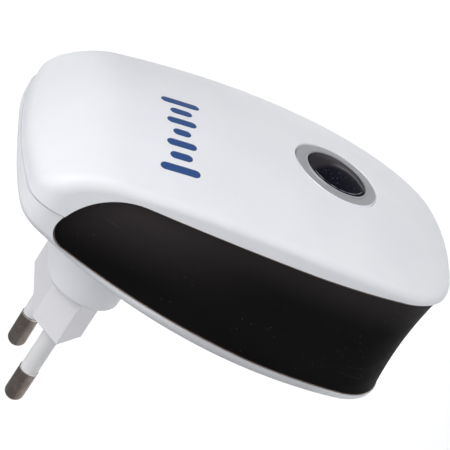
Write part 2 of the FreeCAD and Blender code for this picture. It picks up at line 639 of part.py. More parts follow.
# --- bezel ring and key -------------------------------------------------------------------------------
bezel_ring = turned("bezel_ring", [
    (FACE + " + 0.65", "Sizes.ring_radius"), (FACE + " + 0.4", "Sizes.ring_radius - 0.25"),
    (FACE + " + 0.3", "Sizes.ring_inner_radius + 0.6"), (FACE + " + 0.1", "Sizes.ring_inner_radius + 0.45"),
    (FACE + " + 0.1", "Sizes.ring_inner_radius + 0.15"), (FACE + " + 0.25", "Sizes.ring_inner_radius"),
    (FACE + " + 4.0", "Sizes.ring_inner_radius"), (FACE + " + 4.0", "Sizes.ring_flange_radius"),
    (FACE + " + 2.7", "Sizes.ring_flange_radius"), (FACE + " + 2.7", "Sizes.ring_radius")], KEY_Z)
lens_button = turned("lens_button", [
    (FACE + " - 0.9", "0"), (FACE + " + 0.3", "Sizes.key_radius"), (FACE + " + 4.1", "Sizes.key_radius"),
    (FACE + " + 4.1", "Sizes.key_flange_radius"), (FACE + " + 5.0", "Sizes.key_flange_radius"),
    (FACE + " + 5.0", "Sizes.key_radius - 1"), (FACE + " + 1.2", "Sizes.key_radius - 1"),
    (FACE + " + 0.9", "0")], KEY_Z, {0: "Sizes.key_dome_radius"})
key_diffuser = turned("key_diffuser", [
    (FACE + " + 1.25", "0"), (FACE + " + 1.25", "Sizes.key_radius - 1.05"),
    (FACE + " + 2.1", "Sizes.key_radius - 1.05"), (FACE + " + 2.1", "1.4"), ("-Sizes.stem_end", "1.4"),
    ("-Sizes.stem_end", "0")], KEY_Z)
switch_top = "-Sizes.board_rear - Sizes.board_thick - Sizes.switch_height"
switch_case = box("switch_case", "Sizes.switch_side", "Sizes.switch_height", "Sizes.switch_side",
                  ("0", switch_top, KEY_Z))
switch_round = rounded(switch_case, "switch_round", 0.5, upright)
stem_well = cylinder("stem_well", "Sizes.stem_radius + 0.05", "Sizes.stem_root + Sizes.key_travel + 0.2",
                     ("0", switch_top, KEY_Z))
switch_base = boolean("Cut", "switch_base", switch_round, stem_well)
switch_stem = cylinder("switch_stem", "Sizes.stem_radius",
                       "Sizes.stem_end - Sizes.board_rear - Sizes.board_thick - Sizes.switch_height"
                       " + Sizes.stem_root", ("0", "-Sizes.stem_end", KEY_Z))

# --- plug ---------------------------------------------------------------------------------------------
plug_core = new_body("plug_core")
pad(plug_core, hexagon(plug_core, "plug_outline"), "Sizes.plug_flange_front")
plug_soft = rounded(plug_core, "plug_soft", 0.35, lambda edge, middle: middle.y > -23)
plug_flange = new_body("plug_flange")
flange_sketch = stadium(plug_flange, "flange_outline", "Sizes.plug_flange_front - 1.8", "plug_flange_flat",
                        "plug_flange_radius")
pad(plug_flange, flange_sketch, "1.8")
flange_fitted = boolean("Cut", "flange_fitted", plug_flange, back_wall)
plug_joined = boolean("MultiFuse", "plug_joined", plug_soft, flange_fitted)
core_ways = pins_at("core_way", "Sizes.pin_core_radius", "-40", "10")
sleeve_ways = pins_at("sleeve_way", "Sizes.sleeve_radius", "-Sizes.sleeve_root", "10")
sleeve_recesses = [cylinder(f"sleeve_recess_{name}", "Sizes.sleeve_radius + 0.4", "1.5",
                            (f"{side} * Sizes.pin_pitch / 2", "-0.5", "0"))
                   for name, side in (("left", -1), ("right", 1))]
plug_body = boolean("Cut", "plug_body", plug_joined, *core_ways, *sleeve_ways, *sleeve_recesses)
cores = pins_at("pin_core", "Sizes.pin_core_radius", "-Sizes.pin_inside", "Sizes.sleeve_length + 1")
shafts = pins_at("pin_shaft", "Sizes.pin_radius", "Sizes.sleeve_length", "Sizes.pin_length")
sleeves = pins_at("sleeve_outer", "Sizes.sleeve_radius", "-Sizes.sleeve_root", "Sizes.sleeve_length")
bores = pins_at("sleeve_bore", "Sizes.pin_core_radius", "-5", "Sizes.sleeve_length + 5")
parts = {"front_cover": front_cover, "back_cover": back_cover, "side_band": band, "bezel_ring": bezel_ring,
         "lens_button": lens_button, "key_diffuser": key_diffuser, "switch_stem": switch_stem,
         "switch_base": switch_base, "plug_body": plug_body}
for side, core, shaft, sleeve, bore in zip(("left", "right"), cores, shafts, sleeves, bores):
    round_end = rounded(shaft, f"pin_end_{side}", 1.75,
                        lambda edge, middle: middle.y > size("pin_length") - 0.3)
    parts[f"pin_{side}"] = boolean("MultiFuse", f"pin_{side}", core, round_end)
    parts[f"sleeve_{side}"] = boolean("Cut", f"sleeve_{side}", sleeve, bore)

# --- board and electronics ----------------------------------------------------------------------------
board_tall = "Sizes.board_top + Sizes.board_drop"
board_blank = box("board_blank", "Sizes.board_half_width * 2", "Sizes.board_thick", board_tall,
                  ("0", BOARD_FRONT, "(Sizes.board_top - Sizes.board_drop) / 2"))
board_round = rounded(board_blank, "board_round", size("board_corner"),
                      upright)
board_holes = [cylinder(f"board_hole_{i}", "Sizes.pilot_radius + 0.15", "4",
                        (f"{side} * Sizes.board_screw_x", BOARD_FRONT + " - 1", level))
               for i, (side, level) in enumerate(BOARD_SCREWS)]
parts["main_board"] = boolean("Cut", "main_board", board_round, *board_holes)


def screws(label, places, seat, tip):
    """Group of identical pan-head screws; they point along -Y from their seat."""
    pieces = []
    for i, (x, z) in enumerate(places):
        head = cylinder(f"{label}_head_{i}", "Sizes.screw_head_radius", "Sizes.screw_head_height",
                        (x, seat, z))
        dome = rounded(head, f"{label}_dome_{i}", 0.6, lambda edge, middle: middle.y > evaluate(seat) + 1)
        recess = [box(f"{label}_cross_{i}_{turn}", wide, "0.8", tall,
                      (x, f"{seat} + Sizes.screw_head_height - 0.7", z))
                  for turn, (wide, tall) in enumerate((("2.4", "0.6"), ("0.6", "2.4")))]
        driven = boolean("Cut", f"{label}_driven_{i}", dome, *recess)
        shank = cylinder(f"{label}_shank_{i}", "Sizes.pilot_radius", f"abs({tip} - ({seat}))", (x, tip, z))
        pieces.append(boolean("MultiFuse", f"{label}_{i}", driven, shank))
    group = doc.addObject("Part::Compound", label)
    group.Label = label
    group.Links = pieces
    return group


board_places = [(f"{side} * Sizes.board_screw_x", level) for side, level in BOARD_SCREWS]
parts["board_screws"] = screws("board_screws", board_places, BOARD_REAR, "-Sizes.board_rear - 7.6")
parts["cover_screws"] = screws("cover_screws", COVER_SCREWS, "-Sizes.cover_screw_seat",
                               "-Sizes.cover_screw_tip")

led_points = [(BOARD_FRONT, "0"), (BOARD_FRONT, "1.75"), (BOARD_FRONT + " - 1", "1.75"),
              (BOARD_FRONT + " - 1", "Sizes.led_radius"),
              (BOARD_FRONT + " - Sizes.led_height + 1.5", "Sizes.led_radius"),
              (BOARD_FRONT + " - Sizes.led_height + 0.3", "0.9"),
              (BOARD_FRONT + " - Sizes.led_height", "0")]
for name, side in (("led_left", -1), ("led_right", 1)):
    lamp = turned(name, led_points, KEY_Z)
    lamp.setExpression("Placement.Base.x", f"{side} * Sizes.led_x")
    parts[name] = lamp

sounder_z = "-Sizes.sounder_drop"
cup_front = BOARD_REAR
parts["sounder_cup"] = turned("sounder_cup", [
    (cup_front, "0"), (cup_front, "Sizes.sounder_radius"),
    (cup_front + " + Sizes.sounder_depth", "Sizes.sounder_radius"),
    (cup_front + " + Sizes.sounder_depth", "Sizes.disc_radius + 0.05"),
    (cup_front + " + Sizes.sounder_depth - 1.5", "Sizes.disc_radius + 0.05"),
    (cup_front + " + Sizes.sounder_depth - 1.5", "Sizes.disc_radius - 1"),
    (cup_front + " + Sizes.sounder_wall", "Sizes.disc_radius - 1"),
    (cup_front + " + Sizes.sounder_wall", "0")], sounder_z)
parts["piezo_disc"] = cylinder("piezo_disc", "Sizes.disc_radius", "0.4",
                               ("0", cup_front + " + Sizes.sounder_depth - 1.5", sounder_z))
parts["piezo_ceramic"] = cylinder("piezo_ceramic", "Sizes.ceramic_radius", "0.4",
                                  ("0", cup_front + " + Sizes.sounder_depth - 1.1", sounder_z))
parts["sounder_gasket"] = turned("sounder_gasket", [
    (cup_front + " + Sizes.sounder_depth", "Sizes.sounder_radius"),
    (cup_front + " + Sizes.sounder_depth + 5.6", "Sizes.sounder_radius"),
    (cup_front + " + Sizes.sounder_depth + 5.6", "Sizes.sounder_radius - 2.5"),
    (cup_front + " + Sizes.sounder_depth", "Sizes.sounder_radius - 2.5")], sounder_z)


def standing(label, width, depth, height, x, z, radius):
    """Moulded block that stands on the board's front face, with its upright edges rounded."""
    block = box(label + "_block", width, depth, height, (x, f"{BOARD_FRONT} - {depth}", z))
    return rounded(block, label, radius, lambda edge, middle: middle.y < evaluate(BOARD_FRONT) - 0.1)


parts["film_capacitor"] = standing("film_capacitor", "17", "7.2", "8", "-3.2", "2", 0.6)
parts["bridge_rectifier"] = standing("bridge_rectifier", "8.3", "3.4", "6.4", "-13.5", "-8", 0.3)
parts["controller_chip"] = standing("controller_chip", "3.9", "1.6", "8.6", "0", "-13.5", 0.2)
for i, x in enumerate((8.5, 14.5)):
    can = cylinder(f"can_{i}", "2.9", "7.6", (f"{x}", BOARD_FRONT + " - 7.6", "-6"))
    parts[f"smoothing_capacitor_{i + 1}"] = rounded(can, f"smoothing_capacitor_{i + 1}", 0.5,
                                                    lambda edge, middle: edge.Length > 9)
parts["fuse_resistor"] = turned("fuse_resistor", [
    (BOARD_FRONT + " - 7.8", "0"), (BOARD_FRONT + " - 7.8", "1.1"), (BOARD_FRONT + " - 7", "1.7"),
    (BOARD_FRONT + " - 5.6", "1.35"), (BOARD_FRONT + " - 2.6", "1.35"), (BOARD_FRONT + " - 1.2", "1.7"),
    (BOARD_FRONT + " - 0.6", "0.4"), (BOARD_FRONT, "0.4"), (BOARD_FRONT, "0")], "-14")
parts["fuse_resistor"].setExpression("Placement.Base.x", "-7")
parts["step_up_coil"] = turned("step_up_coil", [
    (BOARD_FRONT, "0"), (BOARD_FRONT, "3.6"), (BOARD_FRONT + " - 1", "3.6"),
    (BOARD_FRONT + " - 1.3", "3.1"),
    (BOARD_FRONT + " - 5.7", "3.1"), (BOARD_FRONT + " - 6", "3.6"), (BOARD_FRONT + " - 7", "3.6"),
    (BOARD_FRONT + " - 7", "0")], "-17")
parts["step_up_coil"].setExpression("Placement.Base.x", "13")
parts["surge_disc"] = rounded(cylinder("surge_core", "3.6", "3", ("-13.5", BOARD_FRONT + " - 3.7", "-15.5"),
                                       (1, 0, 0)), "surge_disc", 1.2, lambda edge, middle: edge.Length > 9)
transistors = []
for i, x in enumerate((-14.5, 14.5)):
    body_round = cylinder(f"transistor_round_{i}", "2.2", "4.4", (f"{x}", BOARD_FRONT + " - 4.4", "-29"))
    flat_side = box(f"transistor_flat_{i}", "5", "5", "2", (f"{x}", BOARD_FRONT + " - 4.7", "-26"))
    transistors.append(boolean("Cut", f"transistor_{i}", body_round, flat_side))
parts["driver_transistors"] = doc.addObject("Part::Compound", "driver_transistors")
parts["driver_transistors"].Links = transistors

for name, side in (("left", -1), ("right", 1)):
    x_end = f"{side} * (Sizes.pin_pitch / 2 + Sizes.pin_inside * sin(Sizes.pin_lean * 1 deg))"
    y_end = "-Sizes.pin_inside * cos(Sizes.pin_lean * 1 deg)"
    block = box(f"tab_block_{name}", "Sizes.tab_side", "Sizes.tab_length", "Sizes.tab_side",
                (x_end, f"{y_end} - Sizes.tab_length + Sizes.tab_grip", "0"))
    soft = rounded(block, f"tab_soft_{name}", 0.6, upright)
    parts[f"pin_tab_{name}"] = boolean("Cut", f"pin_tab_{name}", soft, cores[0 if side < 0 else 1])
    start_y = evaluate(y_end) - size("tab_length") + size("tab_grip")
    gap = start_y + size("board_rear")
    parts[f"lead_{name}"] = cylinder(f"lead_{name}", "Sizes.lead_radius", repr(round(gap, 4)),
                                     (x_end, BOARD_REAR, "0"))

doc.recompute()
for thing in doc.Objects:
    if "Invalid" in thing.State or "Error" in thing.State:
        raise RuntimeError(f"{thing.Name} failed: {thing.State}")
os.makedirs("parts", exist_ok=True)
for name, thing in parts.items():
    shape = thing.Shape
    if shape.isNull() or not shape.isValid():
        raise RuntimeError(f"{name} has no valid shape")
    print(f"{name:22s} solids {len(shape.Solids)}  volume {shape.Volume:9.1f} mm3")
    shape.exportStep(os.path.join("parts", name + ".step"))
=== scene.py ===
import bpy
import json
import math
import bmesh
from mathutils import Matrix, Vector
from mathutils.bvhtree import BVHTree


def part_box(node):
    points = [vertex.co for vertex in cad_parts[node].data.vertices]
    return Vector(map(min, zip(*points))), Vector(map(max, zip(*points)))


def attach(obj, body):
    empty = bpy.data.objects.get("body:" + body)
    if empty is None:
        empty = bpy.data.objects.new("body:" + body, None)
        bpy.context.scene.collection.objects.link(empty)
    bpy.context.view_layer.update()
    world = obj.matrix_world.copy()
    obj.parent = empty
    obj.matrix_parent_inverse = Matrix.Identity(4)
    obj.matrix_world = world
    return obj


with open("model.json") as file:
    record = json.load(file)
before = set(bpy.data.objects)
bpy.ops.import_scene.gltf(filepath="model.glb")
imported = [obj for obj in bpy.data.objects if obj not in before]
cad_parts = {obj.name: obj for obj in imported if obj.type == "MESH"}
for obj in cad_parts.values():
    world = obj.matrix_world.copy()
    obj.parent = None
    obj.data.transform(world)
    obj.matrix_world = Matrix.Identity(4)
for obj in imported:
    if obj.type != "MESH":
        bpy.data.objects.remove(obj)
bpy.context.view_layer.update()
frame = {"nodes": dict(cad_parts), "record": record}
nodes = frame["nodes"]
MM = 0.001
SLOT_OF = {part["node"]: part["material_slot"] for part in frame["record"]["subparts"]}


# --- materials ----------------------------------------------------------------------------------------
class Shader:
    """A Principled material and short ways to feed its sockets from procedural textures."""

    def __init__(self, name):
        self.material = bpy.data.materials.new(name)
        self.material.use_nodes = True
        self.tree = self.material.node_tree
        self.bsdf = self.tree.nodes["Principled BSDF"]
        self.place = self.add("ShaderNodeTexCoord").outputs["Object"]
        self.bumps = None

    def add(self, kind, **settings):
        node = self.tree.nodes.new(kind)
        for key, value in settings.items():
            setattr(node, key, value)
        return node

    def link(self, source, target):
        self.tree.links.new(source, target)

    def set(self, **sockets):
        """Plain values on the shader's own sockets: words joined by _ in place of spaces."""
        for key, value in sockets.items():
            self.bsdf.inputs[key.replace("_", " ")].default_value = value
        return self

    def stretched(self, scale):
        """Object coordinates scaled along each axis."""
        mapping = self.add("ShaderNodeMapping")
        mapping.inputs["Scale"].default_value = scale
        self.link(self.place, mapping.inputs["Vector"])
        return mapping.outputs["Vector"]

    def noise(self, scale, detail=3.0, rough=0.55, vector=None):
        """Cloudy noise whose scale is per metre."""
        node = self.add("ShaderNodeTexNoise")
        node.inputs["Scale"].default_value = scale
        node.inputs["Detail"].default_value = detail
        node.inputs["Roughness"].default_value = rough
        self.link(vector or self.place, node.inputs["Vector"])
        return node.outputs["Fac"]

    def cells(self, scale, feature="F1", vector=None):
        """Distance to the nearest cell point, or to the cell's edge, scaled per metre."""
        node = self.add("ShaderNodeTexVoronoi", feature=feature)
        node.inputs["Scale"].default_value = scale
        self.link(vector or self.place, node.inputs["Vector"])
        return node.outputs["Distance"]

    def spread(self, source, low, high, start=0.3, end=0.7, smooth=False):
        """Map start to end, by default the span that noise mostly fills, onto low to high."""
        node = self.add("ShaderNodeMapRange")
        if smooth:
            node.interpolation_type = "SMOOTHSTEP"
        node.inputs["From Min"].default_value = start
        node.inputs["From Max"].default_value = end
        node.inputs["To Min"].default_value = low
        node.inputs["To Max"].default_value = high
        self.link(source, node.inputs["Value"])
        return node.outputs["Result"]

    def stripe(self, source, rise, fall, smooth=False):
        """1 between a rising and a falling ramp, 0 outside them. Each ramp is its start and end."""
        rising = self.spread(source, 0.0, 1.0, *rise, smooth)
        falling = self.spread(source, 1.0, 0.0, *fall, smooth)
        return self.times(rising, falling)

    def mix(self, factor, first, second):
        """Blend two colours, each a tuple or a socket, by a socket."""
        node = self.add("ShaderNodeMix", data_type="RGBA")
        self.link(factor, node.inputs["Factor"])
        for socket, colour in ((node.inputs[6], first), (node.inputs[7], second)):
            if isinstance(colour, tuple):
                socket.default_value = (*colour, 1.0)
            else:
                self.link(colour, socket)
        return node.outputs[2]

    def math(self, operation, first, second=0.0):
        node = self.add("ShaderNodeMath", operation=operation)
        for socket, value in zip(node.inputs, (first, second)):
            if isinstance(value, (int, float)):
                socket.default_value = value
            else:
                self.link(value, socket)
        return node.outputs["Value"]

    def times(self, first, *others):
        """Product of sockets and plain numbers."""
        for other in others:
            first = self.math("MULTIPLY", first, other)
        return first

    def axis(self, letter):
        node = self.add("ShaderNodeSeparateXYZ")
        self.link(self.place, node.inputs[0])
        return node.outputs[letter]

    def around(self, middle):
        """Offsets along X and Z from a line that runs along Y, and the distance from that line."""
        across = self.math("SUBTRACT", self.axis("X"), middle.x)
        along = self.math("SUBTRACT", self.axis("Z"), middle.z)
        squares = self.math("ADD", self.times(across, across), self.times(along, along))
        return across, along, self.math("SQRT", squares)

    def bump(self, height, distance_mm, strength=1.0):
        """Add relief of this depth in millimetres on top of what is there."""
        node = self.add("ShaderNodeBump")
        node.inputs["Strength"].default_value = strength
        node.inputs["Distance"].default_value = distance_mm * MM
        self.link(height, node.inputs["Height"])
        if self.bumps is not None:
            self.link(self.bumps, node.inputs["Normal"])
        self.bumps = node.outputs["Normal"]
        self.link(self.bumps, self.bsdf.inputs["Normal"])
        return self

    def colour(self, socket):
        self.link(socket, self.bsdf.inputs["Base Color"])
        return self

    def roughness(self, socket):
        self.link(socket, self.bsdf.inputs["Roughness"])
        return self


def moulded(name, colour, tint, rough, grain_mm, grain_depth):
    """Moulded plastic: cloudy tone, satin grain, slow sink waves and a few specks of dust."""
    s = Shader(name)
    base = s.mix(s.spread(s.noise(60.0, 2.0), 0.0, 1.0), colour, tint)
    dust = s.spread(s.cells(900.0), 1.0, 0.0, 0.02, 0.06)
    rare = s.spread(s.noise(230.0, 1.0), 0.0, 0.5, 0.6, 0.68)
    speck = tuple(0.55 * channel + 0.08 for channel in colour)
    s.colour(s.mix(s.times(dust, rare), base, speck))
    s.roughness(s.spread(s.noise(420.0, 4.0), rough * 0.86, rough * 1.16))
    s.bump(s.noise(40.0, 1.0), 0.12, 0.25)
    s.bump(s.noise(1.0 / (grain_mm * MM), 2.0), grain_depth)
    s.set(IOR=1.5)
    return s


def white_shell():
    """White moulding with painted shade on the sides of the rear cover, darkest at its lower end."""
    s = moulded("white shell ABS", (0.83, 0.84, 0.865), (0.80, 0.81, 0.84), 0.34, 0.22, 0.0012)
    base = s.bsdf.inputs["Base Color"].links[0].from_socket
    # Painted shade: the rear cover's sides are darkened, most at the lower end, where less light falls.
    towards_rear = s.spread(s.axis("Y"), 0.0, 1.0, -22.0 * MM, -21.0 * MM)
    at_side = s.spread(s.math("ABSOLUTE", s.axis("X")), 0.0, 1.0, 24.0 * MM, 25.5 * MM)
    lower = s.spread(s.axis("Z"), 0.2, 1.0, 5.0 * MM, -25.0 * MM, smooth=True)
    s.colour(s.mix(s.times(towards_rear, at_side, lower), base, (0.60, 0.61, 0.63)))
    s.set(Specular_IOR_Level=0.35, Subsurface_Weight=0.06)
    s.set(Subsurface_Radius=(0.004, 0.004, 0.0045), Subsurface_Scale=0.3)
    return s


def black_band():
    """Satin black band with a fine grain, faint rubs, settled dust and hairline scratches.

    Painted light makes its tone lighter towards the front and the upper end.
    """
    s = Shader("black band")
    # Painted light: the band is lightened towards the front rim and the upper end, and stays darkest
    # towards the rear.
    near_front = s.spread(s.axis("Y"), 1.0, 0.0, -44.5 * MM, -34.0 * MM, smooth=True)
    near_top = s.spread(s.axis("Z"), 0.0, 1.0, -28.0 * MM, 6.0 * MM, smooth=True)
    off_rear = s.spread(s.axis("Y"), 1.0, 0.0, -40.0 * MM, -25.0 * MM, smooth=True)
    base = s.mix(near_front, (0.0040, 0.0037, 0.0038), (0.036, 0.031, 0.0315))
    base = s.mix(s.times(near_top, off_rear), base, (0.046, 0.039, 0.040))
    wiped = s.noise(55.0, 3.0, vector=s.stretched((1.0, 1.6, 0.5)))
    base = s.mix(s.spread(wiped, 0.0, 0.25), base, (0.016, 0.0145, 0.0145))
    hair = s.cells(14.0, "DISTANCE_TO_EDGE", s.stretched((1.0, 24.0, 2.4)))
    where = s.spread(s.noise(90.0, 1.0), 0.0, 1.0, 0.66, 0.72)
    scratch = s.times(s.spread(hair, 1.0, 0.0, 0.0, 0.02), where)
    base = s.mix(s.times(scratch, 0.22), base, (0.08, 0.075, 0.075))
    dust = s.spread(s.cells(900.0), 1.0, 0.0, 0.05, 0.12)
    settled = s.times(dust, s.spread(s.noise(160.0, 2.0), 0.0, 0.45, 0.5, 0.62))
    s.colour(s.mix(settled, base, (0.12, 0.115, 0.115)))
    s.roughness(s.spread(s.noise(300.0, 4.0), 0.50, 0.62))
    s.bump(s.noise(4200.0, 2.0), 0.004)
    s.bump(scratch, 0.004)
    s.set(IOR=1.45, Specular_IOR_Level=0.05)
    return s


def grey_ring():
    """Painted warm grey ring: metallic fleck, turning marks and a painted highlight along the outer edge
    on one side.
    """
    s = Shader("grey ring")
    low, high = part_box("bezel_ring")
    middle = (low + high) / 2
    mapping = s.add("ShaderNodeMapping")
    mapping.inputs["Location"].default_value = -middle
    s.link(s.place, mapping.inputs["Vector"])
    turns = s.add("ShaderNodeTexWave", wave_type="RINGS", rings_direction="Y")
    turns.inputs["Scale"].default_value = 900.0
    turns.inputs["Distortion"].default_value = 1.5
    s.link(mapping.outputs["Vector"], turns.inputs["Vector"])
    fleck = s.spread(s.noise(6500.0, 2.0), 0.0, 1.0)
    grey = s.mix(fleck, (0.335, 0.337, 0.352), (0.385, 0.387, 0.405))
    across, _, far_out = s.around(middle)
    # Painted highlight: a pale blue-white line on the near side of the outer edge, where the edge catches
    # light.
    outer_edge = s.spread(far_out, 0.0, 1.0, 8.6 * MM, 8.68 * MM)
    near_side = s.spread(across, 1.0, 0.0, -4.0 * MM, 1.0 * MM, smooth=True)
    s.colour(s.mix(s.times(outer_edge, near_side), grey, (0.88, 0.91, 0.96)))
    s.roughness(s.spread(s.noise(700.0, 3.0), 0.36, 0.5))
    s.bump(turns.outputs["Fac"], 0.0008)
    s.bump(s.noise(5200.0, 2.0), 0.0012)
    s.set(Metallic=0.15, IOR=1.5)
    return s


def smoked_lens():
    """Polished smoked key: brown-black on one side of a soft crescent, blue-black and dusty on the other.
    The brown-black side and the crescent are a painted reflection, and a broken pale line on the near edge
    is a painted glint.

    A bowed, slightly wavering line parts the two sides, and `past` is how far a point lies past it.
    """
    s = Shader("smoked lens")
    low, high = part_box("lens_button")
    across, along, far_out = s.around((low + high) / 2)
    haze = s.noise(260.0, 3.0, vector=s.stretched((1.0, 1.0, 2.2)))
    wobble = s.times(s.math("SUBTRACT", haze, 0.5), 0.8 * MM)
    bow = s.times(along, along, 1.0 / (11.0 * MM))
    slant = s.times(along, 0.1)
    past = s.math("ADD", s.math("ADD", across, wobble), s.math("ADD", bow, slant))
    # Painted reflection: the brown-black side stands for the room mirrored in the lens.
    brown = s.spread(past, 0.0, 1.0, -0.6 * MM, 1.8 * MM, smooth=True)
    base = s.mix(brown, (0.0045, 0.0050, 0.0100), (0.030, 0.0260, 0.0305))
    # Painted reflection: a pale crescent along the line that parts the two sides.
    crescent = s.stripe(past, (0.5 * MM, 0.9 * MM), (0.9 * MM, 3.0 * MM), smooth=True)
    lower_end = s.spread(along, 1.0, 0.0, -1.0 * MM, 2.5 * MM, smooth=True)
    base = s.mix(s.times(crescent, lower_end, 0.9), base, (0.125, 0.12, 0.132))
    dust = s.spread(s.cells(2200.0), 1.0, 0.0, 0.10, 0.26)
    blue_side = s.spread(past, 1.0, 0.0, -1.0 * MM, 0.8 * MM, smooth=True)
    patch = s.times(blue_side, s.spread(s.noise(700.0, 2.0), 0.0, 1.0, 0.42, 0.58))
    base = s.mix(s.times(dust, patch, 0.45), base, (0.20, 0.24, 0.34))
    # Painted highlight: a broken pale glint along the near edge of the lens.
    glint = s.stripe(far_out, (5.72 * MM, 5.77 * MM), (5.80 * MM, 5.86 * MM))
    near_side = s.spread(across, 1.0, 0.0, -4.0 * MM, -1.5 * MM, smooth=True)
    broken = s.spread(s.noise(500.0, 2.0), 0.15, 1.0, 0.42, 0.62)
    s.colour(s.mix(s.times(glint, near_side, broken), base, (0.42, 0.46, 0.52)))
    s.roughness(s.spread(haze, 0.05, 0.12))
    s.bump(s.noise(900.0, 2.0), 0.0006)
    s.set(IOR=1.5, Specular_IOR_Level=0.0, Coat_Weight=0.12, Coat_Roughness=0.02)
    return s


def nickel():
    """Nickel-plated pin: warm grey, drawn marks, rubbed patches and a painted highlight where it leaves
    the sleeve.
    """
    s = Shader("nickel pin")
    drawn = s.noise(900.0, 3.0, vector=s.stretched((5.0, 0.25, 5.0)))
    wear = s.spread(s.noise(420.0, 3.0), 0.0, 1.0, 0.45, 0.65)
    base = s.mix(wear, (0.265, 0.222, 0.195), (0.36, 0.308, 0.272))
    low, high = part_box("sleeve_left")
    past_sleeve = s.math("SUBTRACT", s.axis("Y"), high.y)
    # Painted highlight: a bright band just past the sleeve's end, where the edge catches light.
    sleeve_highlight = s.stripe(past_sleeve, (-0.05 * MM, 0.0), (0.16 * MM, 0.24 * MM))
    s.colour(s.mix(sleeve_highlight, base, (0.93, 0.91, 0.88)))
    s.roughness(s.spread(drawn, 0.24, 0.36))
    s.bump(drawn, 0.003)
    s.bump(s.noise(2600.0, 2.0), 0.0012)
    s.set(Metallic=1.0)
    return s


def circuit_board():
    """Green mask with copper tracks showing through as paler lines and a woven glass tone."""
    s = Shader("circuit board")
    tracks = s.add("ShaderNodeTexBrick", offset=0.5, squash=1.0)
    tracks.inputs["Scale"].default_value = 260.0
    tracks.inputs["Mortar Size"].default_value = 0.02
    s.link(s.place, tracks.inputs["Vector"])
    weave = s.noise(1800.0, 2.0)
    base = s.mix(s.spread(weave, 0.0, 1.0), (0.012, 0.10, 0.035), (0.02, 0.13, 0.045))
    s.colour(s.mix(tracks.outputs["Fac"], base, (0.05, 0.24, 0.09)))
    s.roughness(s.spread(weave, 0.25, 0.4))
    s.bump(tracks.outputs["Fac"], 0.02)
    return s


def wound(name, colour, tint, wave_scale):
    """Fine enamelled wire or crimped sheath: ridges across Y."""
    s = Shader(name)
    ridges = s.add("ShaderNodeTexWave", wave_type="BANDS", bands_direction="Y")
    ridges.inputs["Scale"].default_value = wave_scale
    ridges.inputs["Distortion"].default_value = 0.6
    s.link(s.place, ridges.inputs["Vector"])
    s.colour(s.mix(ridges.outputs["Fac"], colour, tint))
    s.roughness(s.spread(s.noise(500.0), 0.3, 0.45))
    s.bump(ridges.outputs["Fac"], 0.04)
    return s


def metal(name, colour, tint, rough):
    """Bare metal with fine brushing."""
    s = Shader(name)
    brushed = s.noise(1500.0, 3.0, vector=s.stretched((1.0, 4.0, 1.0)))
    s.colour(s.mix(s.spread(brushed, 0.0, 1.0), colour, tint))
    s.roughness(s.spread(brushed, rough * 0.8, rough * 1.2))
    s.bump(brushed, 0.002)
    s.set(Metallic=1.0)
    return s


def clear(name, colour, tint, rough):
    """Tinted see-through plastic with a frosted cloudiness."""
    s = Shader(name)
    cloud = s.noise(600.0, 3.0)
    s.colour(s.mix(s.spread(cloud, 0.0, 1.0), colour, tint))
    s.roughness(s.spread(cloud, rough, rough * 1.8))
    s.bump(s.noise(2400.0), 0.001)
    s.set(Transmission_Weight=0.7, IOR=1.5)
    return s


# Each row: name, colour, second tone, roughness, then the grain's pitch and depth in millimetres.
MOULDED = {
    "white_plug": ("white plug", (0.80, 0.795, 0.82), (0.77, 0.765, 0.79), 0.38, 0.3, 0.0015),
    "white_sleeve": ("white sleeve", (0.80, 0.80, 0.81), (0.76, 0.76, 0.77), 0.4, 0.25, 0.0015),
    "black_moulding": ("black moulding", (0.018, 0.018, 0.019), (0.028, 0.028, 0.028), 0.5, 0.1, 0.004),
    "piezo_ceramic": ("silvered ceramic", (0.62, 0.61, 0.58), (0.55, 0.54, 0.50), 0.45, 0.1, 0.003),
    "foam_gasket": ("foam gasket", (0.03, 0.03, 0.031), (0.05, 0.05, 0.05), 0.85, 0.3, 0.05),
    "yellow_case": ("yellow capacitor case", (0.66, 0.42, 0.05), (0.60, 0.37, 0.04), 0.35, 0.2, 0.002),
    "resistor_coat": ("resistor cement", (0.16, 0.25, 0.29), (0.20, 0.30, 0.33), 0.6, 0.15, 0.01),
    "surge_coat": ("surge disc epoxy", (0.03, 0.09, 0.34), (0.05, 0.12, 0.40), 0.3, 0.3, 0.004),
    "lead_brown": ("brown lead", (0.10, 0.04, 0.02), (0.13, 0.055, 0.025), 0.45, 0.2, 0.002),
    "lead_blue": ("blue lead", (0.02, 0.06, 0.30), (0.03, 0.08, 0.36), 0.45, 0.2, 0.002),
}
# Each row: the function that makes the finish, then what it is called with.
MAKERS = {
    "white_shell": (white_shell,),
    "black_band": (black_band,),
    "grey_ring": (grey_ring,),
    "smoked_lens": (smoked_lens,),
    "nickel_pin": (nickel,),
    "circuit_board": (circuit_board,),
    "frosted_clear": (clear, "frosted diffuser", (0.85, 0.87, 0.90), (0.78, 0.80, 0.84), 0.35),
    "blue_led": (clear, "blue lamp epoxy", (0.50, 0.62, 0.90), (0.40, 0.52, 0.85), 0.08),
    "screw_steel": (metal, "zinc-plated screw", (0.55, 0.56, 0.58), (0.42, 0.43, 0.44), 0.3),
    "brass_disc": (metal, "rolled brass", (0.72, 0.53, 0.22), (0.62, 0.45, 0.18), 0.3),
    "capacitor_sleeve": (wound, "capacitor sleeve", (0.015, 0.016, 0.03), (0.03, 0.03, 0.05), 90.0),
    "copper_coil": (wound, "enamelled winding", (0.36, 0.13, 0.045), (0.20, 0.06, 0.02), 1400.0),
    **{slot: (moulded, *row) for slot, row in MOULDED.items()},
}
finishes = {}
for slot in sorted(set(SLOT_OF.values())):
    make, *settings = MAKERS[slot]
    finishes[slot] = make(*settings).material
